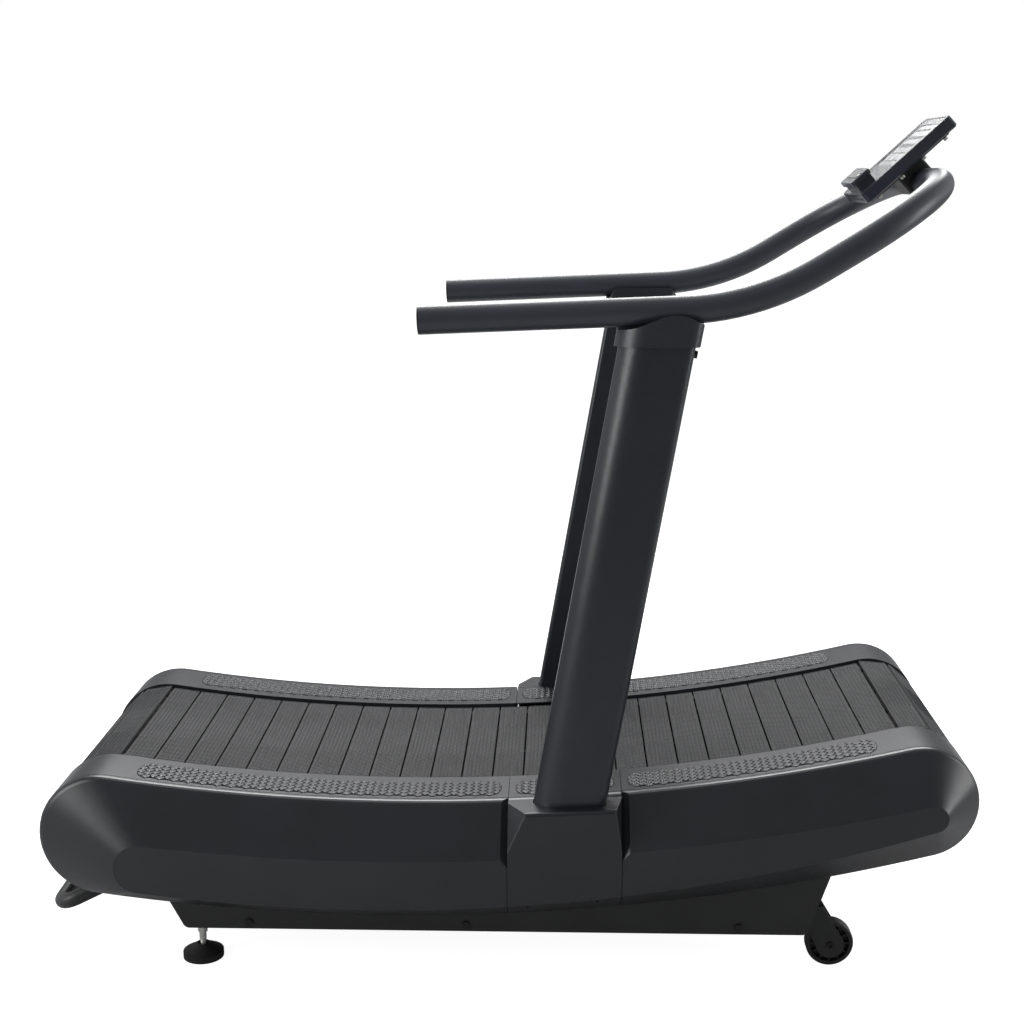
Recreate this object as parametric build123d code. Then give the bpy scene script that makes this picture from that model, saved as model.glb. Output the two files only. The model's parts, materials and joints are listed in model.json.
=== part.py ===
from build123d import *
import math
import os

# A curved manual treadmill, in millimetres. The origin is on the floor under the middle of the machine.
# +X is the way a runner faces, +Y is the runner's left, +Z is up.

# ---- Driving dimensions: running belt -------------------------------------------------------------
FRONT_DRUM = (779.5, 374.0)      # X, Z of the front shaft
REAR_DRUM = (-771.0, 303.0)      # X, Z of the rear shaft
SLAT_FACE_R = 104.0              # running face of the slats as they go round a drum
PAD_ABOVE = 7.2                  # running face above the pitch line of the belt
PITCH_R = SLAT_FACE_R - PAD_ABOVE
DECK_LOW = 363.5                 # lowest point of the running surface
RETURN_LOW = 160.0               # lowest point of the slats on their way back
TOP_SLATS, DRUM_SLATS, RETURN_SLATS = 25, 5, 26
PAD_LENGTH, PAD_WIDTH, PAD_BELOW = 57.8, 432.0, 1.0
BAR_LENGTH, BAR_WIDTH, BAR_DEPTH = 40.0, 372.0, 12.0
CARRIER_INNER, CARRIER_OUTER, CARRIER_DEPTH = 190.0, 214.0, 8.0
CLEAR = 0.3                      # between the carrier belts and everything that they run on or under

# ---- Driving dimensions: side covers ---------------------------------------------------------------
# Each outline is two end circles (X, Z, radius) joined by two long arcs (lowest point of each).
RIM = dict(front=(779.5, 374.0, 108.0), rear=(-769.5, 293.0, 118.0), top=368.5, bottom=137.0)
PLATEAU = dict(front=(790.0, 370.0, 25.0), rear=(-681.0, 255.0, 47.0), top=276.0, bottom=180.0)
RIM_INNER_Y, RIM_Y, PLATEAU_Y = 222.0, 345.0, 414.0
SHELL = 3.0
CREST_R = 14.0                   # rounding of the crest between rail top and side
LIP_DEPTH, LIP_Y = 15.0, 3.0
REAR_SEAM_X, FRONT_SEAM_X, SEAM = 8.0, 221.0, 1.0
END_CHAMFER, END_DEPTH = 14.0, 9.0      # inward turn of the panels' ends beside the pedestal
CREST_GROOVE_Y, CREST_GROOVE = 331.0, 1.4
PEDESTAL_Y, PEDESTAL_BACK_Y, PEDESTAL_LOW, PEDESTAL_EASE = 416.5, 358.0, 250.0, 7.0
PEDESTAL_REAR, PEDESTAL_FRONT = (9.5, 298.0), (219.5, 306.0)       # where its flanks start to lean
PEDESTAL_TOP_REAR, PEDESTAL_TOP_FRONT = (43.0, 374.0), (209.0, 383.0)
CLIP_HOLES, CLIP_HOLE_R = [(46.0, 182.0), (176.0, 195.0)], 3.0
COVER_SCREW_X, COVER_SCREW_Y = (-560, -330, -100, 52, 178, 320, 480, 640), 322.0
SCREW_HEAD_R, SCREW_HEAD_TALL = 5.0, 3.0
HANDLE_SLOT_X, HANDLE_SLOT_Y, HANDLE_SLOT_Z = (-815.0, -680.0), (240.0, 316.0), (100.0, 225.0)
RAIL_SLOT_X, RAIL_SLOT_Y, RAIL_SLOT_Z = (-687.0, 643.0), (200.0, 301.0), (58.0, 262.0)

# ---- Driving dimensions: frame ---------------------------------------------------------------------
SKIRT_Y, SKIRT_T, SKIRT_Z, SKIRT_CORNER_R = 300.0, 3.0, 83.0, 14.0
SKIRT_FLANGE_X, SKIRT_FLANGE_LONG, SKIRT_FLANGE_WIDE = -20.0, 1150.0, 9.0
SKIRT_BOLT_R, SKIRT_HEAD_R, SKIRT_HEAD_TALL = 4.0, 8.0, 4.0
SKIRT = [(-625, SKIRT_Z), (583, SKIRT_Z), (637, 240), (-678.5, 185)]
SKIRT_BOLTS = [(-499.5, 96.0), (-75.6, 96.0), (451.9, 97.0)]
SIDE_PLATE_Y, SIDE_PLATE_T = 228.0, 6.0
BASE_TUBE_X = (-600.0, 40.0, 555.0)
BASE_TUBE_LOW, BASE_TUBE_TALL, BASE_TUBE_LONG = 88.0, 40.0, 60.0
LOOP_TUBES = [(-480, 262), (-150, 252), (190, 262), (520, 292)]
LOOP_TUBE = 40.0
PLATE_LOW, PLATE_END_R, PLATE_LEG, PLATE_LEG_TOP, PLATE_DROP = 205.0, 70.0, 70.0, 260.0, 12.0
PLATE_HOLE_R, PLATE_HOLES = 28.0, [(-640, 278), (-320, 278), (10, 279), (360, 307), (650, 330)]
SHAFT_R, SHAFT_END_Y = 15.0, 262.0
PULLEY_HUB_R, PULLEY_HOLE_R, PULLEY_HOLE_AT, PULLEY_WEB, PULLEY_RIM = 28.0, 15.0, 53.0, 8.0, 7.0
BEARING_SIDE, BEARING_CORNER_R, BEARING_BOSS_R, BEARING_BOLT_AT = 92.0, 20.0, 34.0, 36.0
BEARING_FLANGE, BEARING_DEPTH, BEARING_HEAD_R = 10.0, 20.0, 7.0
RUN_FIT = 0.05                   # radial clearance of every running fit
ROLLER_R, ROLLER_COUNT, AXLE_R = 17.5, 6, 6.0
ROLLERS_FROM, ROLLERS_TO = math.radians(-6.6), math.radians(12.0)     # along the running arc

# ---- Driving dimensions: uprights, handlebar and console -------------------------------------------
LEAN = math.radians(9.87)
UPRIGHT_Y, UPRIGHT_DEPTH, UPRIGHT_HALF = 366.0, 134.5, 28.0
UPRIGHT_X_AT_FLOOR = -9.2        # rear face of the upright, carried down to the floor
UPRIGHT_LOW, UPRIGHT_TOP, UPRIGHT_WALL = 197.0, 1240.0, 3.0
UPRIGHT_SCREW_Z, UPRIGHT_SCREW_R, UPRIGHT_SCREW_TALL = 1214.0, 7.0, 6.0
UPRIGHT_BOLT_Z, UPRIGHT_BOLT_R, UPRIGHT_BOLT_DX = (209.0, 248.0), 5.0, 28.0
BOLT_HEAD_R, BOLT_HEAD_TALL = 8.5, 6.0
BRACKET_MID_Z, BRACKET_SIDE, BRACKET_WALL = 215.0, 90.0, 4.0
COLLAR_LOW, COLLAR_HIGH, COLLAR_TALL, COLLAR_GROW, COLLAR_SHOULDER = 1228.0, 1281.0, 62.0, 8.0, 19.0
TUBE_R, TUBE_WALL = 25.4, 3.0
BAR_REAR, BAR_BEND, BAR_FRONT = (-145.0, 1272.6), (445.3, 1296.2), (793.0, 1508.0)
BEND_R, LOOP_R = 480.0, 220.0
CONSOLE_WIDE, CONSOLE_LONG, CONSOLE_THICK, FACE_THICK = 200.0, 214.0, 23.5, 6.0
WINDOW_WIDE, WINDOW_LONG, WINDOW_UP = 160.0, 112.0, 30.0
CONSOLE_TILT = 42.7
CONSOLE_MID = (743.4, 1556.5)    # X, Z of the middle of the console's face
POD_WIDE, POD_LONG, POD_TALL, POD_NECK, POD_LOW = 124.0, 44.0, 25.0, 15.0, 4.0
POD_MID = CONSOLE_LONG / 2 - POD_LOW - POD_LONG / 2     # down the face from its middle
CLAMP_WIDE, CLAMP_LONG, BACK_PLATE = 90.0, 60.0, (176.0, 176.0, 3.0)
KEY_PITCH, KEY_R, KEY_CORNER_R, KEY_TALL, KEY_GAP, KEY_TRAVEL_GAP = 27.0, 8.0, 3.0, 7.0, 0.3, 1.5
PLATE_SCREW_X, PLATE_SCREW_Y, PLATE_SCREW_R, PLATE_SCREW_TALL = (-78, 78), (-78, -26, 26, 78), 4.5, 6.0
POD_SCREW_X, POD_SCREW_R, POD_SCREW_TALL = (-56, 56), 2.5, 1.6

# ---- Driving dimensions: ground contact -------------------------------------------------------------
WHEEL_X, WHEEL_R, WHEEL_IN_Y, WHEEL_OUT_Y = 635.0, 46.5, 232.0, 260.0
EAR_T, EAR_GAP, WHEEL_AXLE_R = 4.0, 3.0, 5.0
EAR_R, AXLE_HEAD_R, WHEEL_POCKET_R, WHEEL_HUB_R, WHEEL_RIBS = 27.0, 7.0, 38.0, 13.0, 12
FOOT_X, FOOT_Y, PAD_R, STUD_R, STUD_TOP = -603.0, 250.0, 40.0, 5.0, 110.0
PAD_RIM, PAD_TALL, BALL_Z, BALL_R, PAD_MOUTH_R = 12.0, 28.0, 16.0, 9.0, 10.0
NUT_R, NUT_TALL, STUD_NUT_Z, SOCKET_NUT_Z, SOCKET_BOSS_R, STUD_RING = 9.8, 9.0, 52.0, 67.0, 13.0, 16.0
HANDLE_R, HANDLE_WALL = 15.0, 2.5
HANDLE = [(-570.0, 249.0, 252.0), (-668.0, 249.0, 213.0), (-872.0, 310.0, 129.0)]
HANDLE_RADII = [150.0, 32.0]

XZ_LEFT = Plane(origin=(0, 0, 0), x_dir=(1, 0, 0), z_dir=(0, -1, 0))
STANDING_OUT = (Align.CENTER, Align.MIN, Align.MIN)      # placed by its low inner edge


# ---- Outlines and helpers ---------------------------------------------------------------------------
def mirrored(shape):
    """The same piece on the runner's right."""
    return mirror(shape, about=Plane.XZ)


def along_y(sketch, y_low, y_high):
    """A prism of an XZ sketch between two Y values."""
    solid = extrude(XZ_LEFT * sketch, amount=-(y_high - y_low))
    return Pos(0, y_low, 0) * solid


def rod_y(x, z, radius, y_low, y_high):
    """A cylinder along Y."""
    return Pos(x, (y_low + y_high) / 2, z) * Rot(90, 0, 0) * Cylinder(radius, y_high - y_low)


def long_arc(front, rear, low, sign):
    """Centre and radius of the arc through height low that is tangent to both end circles.

    sign is +1 where the circles lie outside the arc (the top) and -1 where they lie inside it."""
    def reach(circle, radius):
        x, z, r = circle
        gap = z + sign * r - low
        return math.sqrt(gap * (2 * radius + 2 * sign * r - gap))

    small, large = 500.0, 50000.0
    for _ in range(80):
        middle = (small + large) / 2
        if reach(front, middle) + reach(rear, middle) < front[0] - rear[0]:
            small = middle
        else:
            large = middle
    return rear[0] + reach(rear, small), low + small, small


def tangent_point(circle, arc, sign):
    """Where an end circle meets a long arc."""
    x, z, r = circle
    dx, dz = arc[0] - x, arc[1] - z
    distance = math.hypot(dx, dz)
    return x + sign * r * dx / distance, z + sign * r * dz / distance


def outline_points(shape, grow=0.0):
    """The eight points that fix an outline of four tangent arcs, in order round it."""
    front = (*shape["front"][:2], shape["front"][2] + grow)
    rear = (*shape["rear"][:2], shape["rear"][2] + grow)
    top = long_arc(front, rear, shape["top"] + grow, 1)
    bottom = long_arc(front, rear, shape["bottom"] - grow, -1)
    return [
        tangent_point(rear, top, 1), (top[0], shape["top"] + grow), tangent_point(front, top, 1),
        (front[0] + front[2], front[1]),
        tangent_point(front, bottom, -1), (bottom[0], shape["bottom"] - grow),
        tangent_point(rear, bottom, -1),
        (rear[0] - rear[2], rear[1]),
    ]


def outline_wire(shape, y, grow=0.0):
    """The outline as a closed wire at one Y."""
    p = [Vector(x, y, z) for x, z in outline_points(shape, grow)]
    return Wire([Edge.make_three_point_arc(p[i], p[i + 1], p[(i + 2) % 8]) for i in (0, 2, 4, 6)])


def slab(shape, y_low, y_high, grow=0.0):
    """The outline as a flat slab between two Y values."""
    return Solid.extrude(Face(outline_wire(shape, y_low, grow)), Vector(0, y_high - y_low, 0))


def between(a, b, t):
    """An outline part of the way from outline a to outline b."""
    mix = lambda p, q: p + (q - p) * t
    circle = lambda key: tuple(mix(p, q) for p, q in zip(a[key], b[key]))
    return dict(front=circle("front"), rear=circle("rear"), top=mix(a["top"], b["top"]),
                bottom=mix(a["bottom"], b["bottom"]))


BELT = dict(front=(*FRONT_DRUM, PITCH_R), rear=(*REAR_DRUM, PITCH_R),
            top=DECK_LOW - PAD_ABOVE, bottom=RETURN_LOW + PAD_ABOVE)
TOP_ARC = long_arc(BELT["front"], BELT["rear"], BELT["top"], 1)
RETURN_ARC = long_arc(BELT["front"], BELT["rear"], BELT["bottom"], -1)


# ---- Running belt -----------------------------------------------------------------------------------
def slat_places(centre, radius, start, end, count, outward):
    """Where the slats of one run sit: count equal steps along an arc, each slat in the middle of its step."""
    first = math.atan2(start[1] - centre[1], start[0] - centre[0])
    turn = math.atan2(end[1] - centre[1], end[0] - centre[0]) - first
    if centre[1] < 1000:         # round a drum the slats go the long way, clockwise
        turn = turn % (2 * math.pi) - 2 * math.pi
    places = []
    for i in range(count):
        angle = first + turn * (i + 0.5) / count
        x, z = centre[0] + radius * math.cos(angle), centre[1] + radius * math.sin(angle)
        normal = math.degrees(math.atan2(outward * math.cos(angle), outward * math.sin(angle)))
        places.append(Location((x, 0, z), (0, normal, 0)))
    return places


def belt_runs():
    """The four runs of the belt: name, slat places."""
    top_rear, _, top_front, _, low_front, _, low_rear, _ = outline_points(BELT)
    return {
        "top": slat_places(TOP_ARC[:2], TOP_ARC[2], top_rear, top_front, TOP_SLATS, -1),
        "front": slat_places(FRONT_DRUM, PITCH_R, top_front, low_front, DRUM_SLATS, 1),
        "return": slat_places(RETURN_ARC[:2], RETURN_ARC[2], low_front, low_rear, RETURN_SLATS, 1),
        "rear": slat_places(REAR_DRUM, PITCH_R, low_rear, top_rear, DRUM_SLATS, 1),
    }


def slat_pad():
    """The rubber tread of one slat, with its running edges eased."""
    tall = PAD_ABOVE + PAD_BELOW
    pad = Pos(0, 0, (PAD_ABOVE - PAD_BELOW) / 2) * Box(PAD_LENGTH, PAD_WIDTH, tall)
    return chamfer(pad.faces().sort_by(Axis.Z)[-1].edges(), 1.2)


def slat_bar():
    """The aluminium bar under one slat, hollow from end to end."""
    bar = Box(BAR_LENGTH, BAR_WIDTH, BAR_DEPTH) - Box(BAR_LENGTH - 5, BAR_WIDTH + 1, BAR_DEPTH - 5)
    return Pos(0, 0, -PAD_BELOW - BAR_DEPTH / 2) * bar


def carrier_belts():
    """The two endless belts that carry the slats, one near each end of them."""
    outer = -PAD_BELOW - CLEAR
    loop = slab(BELT, CARRIER_INNER, CARRIER_OUTER, outer)
    loop -= slab(BELT, CARRIER_INNER - 1, CARRIER_OUTER + 1, outer - CARRIER_DEPTH)
    return [loop, mirrored(loop)]


def pulley(drum):
    """One pulley: rim, web with six holes, and hub."""
    rim_r = PITCH_R - PAD_BELOW - CARRIER_DEPTH - 2 * CLEAR
    middle = (CARRIER_INNER + CARRIER_OUTER) / 2
    low, high = CARRIER_INNER - 4, CARRIER_OUTER + 4
    x, z = drum
    body = rod_y(x, z, rim_r, CARRIER_INNER - 1, CARRIER_OUTER + 1)
    body -= rod_y(x, z, rim_r - PULLEY_RIM, middle + PULLEY_WEB / 2, high)
    body -= rod_y(x, z, rim_r - PULLEY_RIM, low, middle - PULLEY_WEB / 2)
    body += rod_y(x, z, PULLEY_HUB_R, low, high)
    for i in range(6):
        angle = math.radians(60 * i)
        dx, dz = PULLEY_HOLE_AT * math.cos(angle), PULLEY_HOLE_AT * math.sin(angle)
        body -= rod_y(x + dx, z + dz, PULLEY_HOLE_R, low - 1, high + 1)
    return body - rod_y(x, z, SHAFT_R, low - 1, high + 1)


def shaft(drum):
    """One through shaft, with a turned-down end at each side."""
    x, z = drum
    bar = rod_y(x, z, SHAFT_R, -SHAFT_END_Y, SHAFT_END_Y)
    return chamfer(bar.edges().filter_by(GeomType.CIRCLE), 1.5)


def flange_bearing(drum):
    """One four-bolt flange bearing on the outer face of a side plate."""
    x, z = drum
    face = SIDE_PLATE_Y + SIDE_PLATE_T
    square = Pos(x, z) * RectangleRounded(BEARING_SIDE, BEARING_SIDE, BEARING_CORNER_R)
    housing = along_y(square, face, face + BEARING_FLANGE)
    housing += rod_y(x, z, BEARING_BOSS_R, face, face + BEARING_DEPTH)
    return housing - rod_y(x, z, SHAFT_R + RUN_FIT, face - 1, face + 30)


def roller_spots():
    """X, Z of the support rollers, evenly spread under the running surface."""
    reach = TOP_ARC[2] + PAD_BELOW + CARRIER_DEPTH + 2 * CLEAR + ROLLER_R
    spots = []
    for i in range(ROLLER_COUNT):
        angle = ROLLERS_FROM + (ROLLERS_TO - ROLLERS_FROM) * i / (ROLLER_COUNT - 1)
        spots.append((TOP_ARC[0] + reach * math.sin(angle), TOP_ARC[1] - reach * math.cos(angle)))
    return spots


def roller_pair(x, z):
    """Two flanged-bearing rollers, one under each carrier belt."""
    roller = rod_y(x, z, ROLLER_R, CARRIER_INNER + 1, CARRIER_OUTER - 1)
    roller = chamfer(roller.edges().filter_by(GeomType.CIRCLE), 1.0)
    roller -= rod_y(x, z, AXLE_R + RUN_FIT, 150, 250)
    return [roller, mirrored(roller)]


# ---- Frame ------------------------------------------------------------------------------------------
def side_plate():
    """A steel plate inside the belt's loop, on legs that stand on the base tubes."""
    front, rear = (*FRONT_DRUM, PLATE_END_R), (*REAR_DRUM, PLATE_END_R)
    shape = dict(front=front, rear=rear, top=DECK_LOW - PLATE_DROP, bottom=PLATE_LOW)
    inner, outer = SIDE_PLATE_Y, SIDE_PLATE_Y + SIDE_PLATE_T
    plate = slab(shape, inner, outer)
    floor = BASE_TUBE_LOW + BASE_TUBE_TALL
    for x in BASE_TUBE_X:
        leg = Box(PLATE_LEG, SIDE_PLATE_T, PLATE_LEG_TOP - floor, align=STANDING_OUT)
        plate += Pos(x, inner, floor) * leg
    for x, z in (FRONT_DRUM, REAR_DRUM):
        plate -= rod_y(x, z, SHAFT_R + 3, inner - 1, outer + 1)
    for x, z in PLATE_HOLES:
        plate -= rod_y(x, z, PLATE_HOLE_R, inner - 1, outer + 1)
    return plate


def base_rail():
    """One side of the base: a folded plate with a flange along its bottom and a line of bolts."""
    web = along_y(make_face(Polyline(*SKIRT, close=True)), 0, SKIRT_T)
    corners = web.edges().filter_by(Axis.Y).sort_by(Axis.Z)[:2]
    web = Pos(0, SKIRT_Y - SKIRT_T, 0) * fillet(corners, SKIRT_CORNER_R)
    flange = Box(SKIRT_FLANGE_LONG, SKIRT_FLANGE_WIDE, SKIRT_T, align=STANDING_OUT)
    flange = Pos(SKIRT_FLANGE_X, SKIRT_Y - SKIRT_T - SKIRT_FLANGE_WIDE + 1, SKIRT_Z) * flange
    notch = Pos(bracket_x(), SKIRT_Y, BRACKET_MID_Z) * Box(BRACKET_SIDE + 4, 20, BRACKET_SIDE + 4)
    rail = web + flange - notch
    for x, z in SKIRT_BOLTS:
        rail -= rod_y(x, z, SKIRT_BOLT_R, SKIRT_Y - 10, SKIRT_Y + 1)
    return rail


def box_tube(x, z_low, long, tall, half_width, wall=3.0):
    """A rectangular tube across the machine."""
    outer = Box(long, 2 * half_width, tall)
    inner = Box(long - 2 * wall, 2 * half_width + 1, tall - 2 * wall)
    return Pos(x, 0, z_low + tall / 2) * (outer - inner)


def cross_tubes():
    """Three base tubes between the rails and four tie tubes between the side plates."""
    tubes = []
    for x in BASE_TUBE_X:
        tube = box_tube(x, BASE_TUBE_LOW, BASE_TUBE_LONG, BASE_TUBE_TALL, SKIRT_Y - SKIRT_T)
        if x == BASE_TUBE_X[0]:
            for side in (-1, 1):
                tube -= Pos(FOOT_X, side * FOOT_Y, BASE_TUBE_LOW) * Cylinder(STUD_R + 1, 20)
        tubes.append(tube)
    for x, z in LOOP_TUBES:
        tubes.append(box_tube(x, z - LOOP_TUBE / 2, LOOP_TUBE, LOOP_TUBE, SIDE_PLATE_Y))
    return tubes


def bracket_x():
    """X of the middle of the brackets that hold the uprights."""
    return UPRIGHT_X_AT_FLOOR + BRACKET_MID_Z * math.tan(LEAN) + UPRIGHT_DEPTH / 2


def upright_bracket():
    """The open box between a side plate and the foot of its upright, drilled for the upright's bolts."""
    y_low, y_high = SIDE_PLATE_Y + SIDE_PLATE_T, UPRIGHT_Y - UPRIGHT_HALF
    outer = Box(BRACKET_SIDE, y_high - y_low, BRACKET_SIDE)
    inner = Box(BRACKET_SIDE - 2 * BRACKET_WALL, y_high - y_low - 2 * BRACKET_WALL, BRACKET_SIDE + 1)
    bracket = Pos(bracket_x(), (y_low + y_high) / 2, BRACKET_MID_Z) * (outer - inner)
    for x, z in upright_bolt_spots():
        bracket -= rod_y(x, z, UPRIGHT_BOLT_R, y_high - 20, y_high + 20)
    return bracket


def upright_profile(grow=0.0):
    """Plan of an upright: flat inside, softly rounded outside towards the rear."""
    d, h = UPRIGHT_DEPTH, UPRIGHT_HALF
    outline = [
        Line((0, -h + 8), (0, -4)),
        ThreePointArc((0, -4), (20, 17), (60, h)),
        Line((60, h), (d - 17, h)),
        ThreePointArc((d - 17, h), (d - 5, h - 5), (d, h - 17)),
        Line((d, h - 17), (d, -h + 8)),
        ThreePointArc((d, -h + 8), (d - 2.4, -h + 2.4), (d - 8, -h)),
        Line((d - 8, -h), (8, -h)),
        ThreePointArc((8, -h), (2.4, -h + 2.4), (0, -h + 8)),
    ]
    face = make_face(outline)
    return offset(face, amount=grow) if grow else face


def leaning(profile, z_low, z_high):
    """A prism that leans forward with the uprights, from one height to another."""
    x = UPRIGHT_X_AT_FLOOR + z_low * math.tan(LEAN)
    length = (z_high - z_low) / math.cos(LEAN)
    direction = (math.sin(LEAN), 0, math.cos(LEAN))
    return extrude(Pos(x, UPRIGHT_Y, z_low) * profile, amount=length, dir=direction)


def upright_bolt_spots():
    """X, Z of the bolts through the foot of an upright."""
    mid = UPRIGHT_X_AT_FLOOR + UPRIGHT_DEPTH / 2
    return [(mid + z * math.tan(LEAN) + dx, z) for z in UPRIGHT_BOLT_Z
            for dx in (-UPRIGHT_BOLT_DX, UPRIGHT_BOLT_DX)]


def upright():
    """One hollow upright, drilled for its foot bolts."""
    outer = leaning(upright_profile(), UPRIGHT_LOW, UPRIGHT_TOP)
    post = outer - leaning(upright_profile(-UPRIGHT_WALL), UPRIGHT_LOW - 1, UPRIGHT_TOP + 1)
    for x, z in upright_bolt_spots():
        post -= rod_y(x, z, UPRIGHT_BOLT_R, 300, 420)
    return post


def frame_bolts():
    """Bolts through the base rails, the uprights' feet and the flange bearings."""
    bolts = []
    for x, z in SKIRT_BOLTS:
        shank = rod_y(x, z, SKIRT_BOLT_R, SKIRT_Y - 9, SKIRT_Y)
        bolts.append(shank + rod_y(x, z, SKIRT_HEAD_R, SKIRT_Y, SKIRT_Y + SKIRT_HEAD_TALL))
    outer, inner = UPRIGHT_Y + UPRIGHT_HALF, UPRIGHT_Y - UPRIGHT_HALF - 9
    for x, z in upright_bolt_spots():
        shank = rod_y(x, z, UPRIGHT_BOLT_R, inner, outer)
        bolts.append(shank + rod_y(x, z, BOLT_HEAD_R, outer, outer + BOLT_HEAD_TALL))
    face = SIDE_PLATE_Y + SIDE_PLATE_T + BEARING_FLANGE
    for x, z in (FRONT_DRUM, REAR_DRUM):
        for dx in (-BEARING_BOLT_AT, BEARING_BOLT_AT):
            for dz in (-BEARING_BOLT_AT, BEARING_BOLT_AT):
                bolts.append(rod_y(x + dx, z + dz, BEARING_HEAD_R, face, face + BOLT_HEAD_TALL))
    return bolts + [mirrored(bolt) for bolt in bolts]


def tube_path(points, radii):
    """A route of straight runs with an arc at each corner."""
    return FilletPolyline(*points, radius=radii)


def bent_tube(points, radii, radius, wall):
    """A round tube along a route."""
    path = tube_path(points, radii)
    ring = Circle(radius) - Circle(radius - wall)
    return sweep(Plane(origin=path @ 0, z_dir=path % 0) * ring, path=path)


def handlebar_points():
    """Corners of the handlebar's centreline, from one rear end round the front to the other."""
    side = [(x, UPRIGHT_Y, z) for x, z in (BAR_REAR, BAR_BEND, BAR_FRONT)]
    return side + [(x, -y, z) for x, y, z in reversed(side)]


def handlebar():
    """The one-piece looped handlebar."""
    return bent_tube(handlebar_points(), [BEND_R, LOOP_R, LOOP_R, BEND_R], TUBE_R, TUBE_WALL)


def end_cap():
    """A plug in one rear end of the handlebar."""
    disc = Pos(0, 0, -1.5) * Cylinder(TUBE_R, 3)
    disc = chamfer(disc.faces().sort_by(Axis.Z)[0].edges(), 1)
    plug = Pos(0, 0, 9) * Cylinder(TUBE_R - TUBE_WALL, 18)
    return Pos(BAR_REAR[0], UPRIGHT_Y, BAR_REAR[1]) * Rot(0, 90 - bar_slope(), 0) * (disc + plug)


def bar_slope():
    """Angle of the handlebar's rear lengths above level, in degrees."""
    return math.degrees(math.atan2(BAR_BEND[1] - BAR_REAR[1], BAR_BEND[0] - BAR_REAR[0]))


def collar():
    """The cast cradle on top of an upright that the handlebar lies in."""
    block = leaning(upright_profile(COLLAR_GROW), COLLAR_LOW, COLLAR_LOW + COLLAR_TALL)
    low, high = COLLAR_LOW - 10, COLLAR_HIGH
    shoulder = high - COLLAR_SHOULDER
    edge = UPRIGHT_X_AT_FLOOR + COLLAR_LOW * math.tan(LEAN)
    rear, front = edge - 30, edge + UPRIGHT_DEPTH + 45
    saddle = make_face([
        Polyline((rear, low), (rear, shoulder - 5), (edge, shoulder - 5)),
        Spline((edge, shoulder - 5), (edge + 36, shoulder + 2), (edge + 90, high + 2), (edge + 118, high),
               (edge + 155, shoulder), tangents=[(1, 0.05), (1, -0.6)]),
        Polyline((edge + 155, shoulder), (front, shoulder), (front, low), (rear, low)),
    ])
    flat = make_face(Polyline(
        (rear, low), (rear, shoulder), (edge + 6, shoulder), (edge + 14, high), (edge + 138, high),
        (edge + 152, shoulder), (front, shoulder), (front, low), close=True))
    block &= along_y(saddle, UPRIGHT_Y, UPRIGHT_Y + 60) + along_y(flat, UPRIGHT_Y - 60, UPRIGHT_Y)
    block -= leaning(upright_profile(), COLLAR_LOW - 5, UPRIGHT_TOP)
    groove = Pos(BAR_REAR[0], UPRIGHT_Y, BAR_REAR[1]) * Rot(0, 90 - bar_slope(), 0) * \
        Cylinder(TUBE_R, 620, align=(Align.CENTER, Align.CENTER, Align.MIN))
    lift = Pos(0, 0, 30) * groove
    return block - groove - lift


# ---- Covers -----------------------------------------------------------------------------------------
def crest_stations(inset):
    """(Y, part of the way from rim to plateau) along the cross-section of a side cover."""
    slope = math.atan2(RIM["top"] - PLATEAU["top"], PLATEAU_Y - RIM_Y)
    tangent = CREST_R * math.tan(slope / 2)
    stations = []
    for part in (0.0, 0.35, 0.7, 1.0):
        turn = part * slope
        y = RIM_Y - tangent + CREST_R * math.sin(turn)
        drop = CREST_R * (1 - math.cos(turn))
        stations.append((y - inset, drop / (RIM["top"] - PLATEAU["top"])))
    return stations + [(PLATEAU_Y - inset, 1.0)]


def cover_body(y_inner, inset):
    """A side cover as a closed solid, from its inner face out to its plateau."""
    stations = crest_stations(inset)
    body = slab(RIM, y_inner, stations[0][0], -inset)
    wires = [outline_wire(between(RIM, PLATEAU, t), y, -inset) for y, t in stations]
    for first, second in zip(wires, wires[1:]):
        body += Solid.make_loft([first, second], ruled=True)
    return body


def half_space(origin, outward, size=600.0):
    """A large block on the outward side of a plane."""
    face = Plane(origin=origin, z_dir=outward)
    return face.location * Box(size, size, size, align=(Align.CENTER, Align.CENTER, Align.MIN))


def flank(low, top, x_back):
    """A point and the outward normal of a leaning flank, from the pedestal's front back to a seam."""
    a = Vector(low[0], PEDESTAL_Y, low[1])
    b = Vector(top[0], PEDESTAL_Y, top[1])
    c = Vector(x_back, PEDESTAL_BACK_Y, top[1])
    normal = (b - a).cross(c - a)
    if normal.Z < 0:
        normal = -normal
    return a, normal.normalized()


def pedestal(inset=0.0):
    """The block of the centre cover that the upright rises from."""
    rear, front = REAR_SEAM_X + SEAM / 2, FRONT_SEAM_X - SEAM / 2
    (x1, z1), (x2, z2) = PEDESTAL_TOP_REAR, PEDESTAL_TOP_FRONT
    rise = (z2 - z1) / (x2 - x1)
    low = PEDESTAL_LOW
    top_rear, top_front = z1 + (rear - x1) * rise, z2 + (front - x2) * rise
    face = make_face(Polyline((rear, low), (rear, top_rear), (front, top_front), (front, low), close=True))
    if inset:
        face = offset(face, amount=-inset, kind=Kind.INTERSECTION)
    block = along_y(face, 260, PEDESTAL_Y - inset)
    flanks = (PEDESTAL_REAR, PEDESTAL_TOP_REAR, rear), (PEDESTAL_FRONT, PEDESTAL_TOP_FRONT, front)
    for start, top, x_back in flanks:
        origin, normal = flank(start, top, x_back)
        block -= half_space(origin - normal * inset, normal)
    if not inset:
        outer = block.faces().sort_by(Axis.Y)[-1]
        rim = [e for e in outer.edges() if e.center().Z > z2 - 60]
        block = fillet(rim, PEDESTAL_EASE)
    return block


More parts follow.
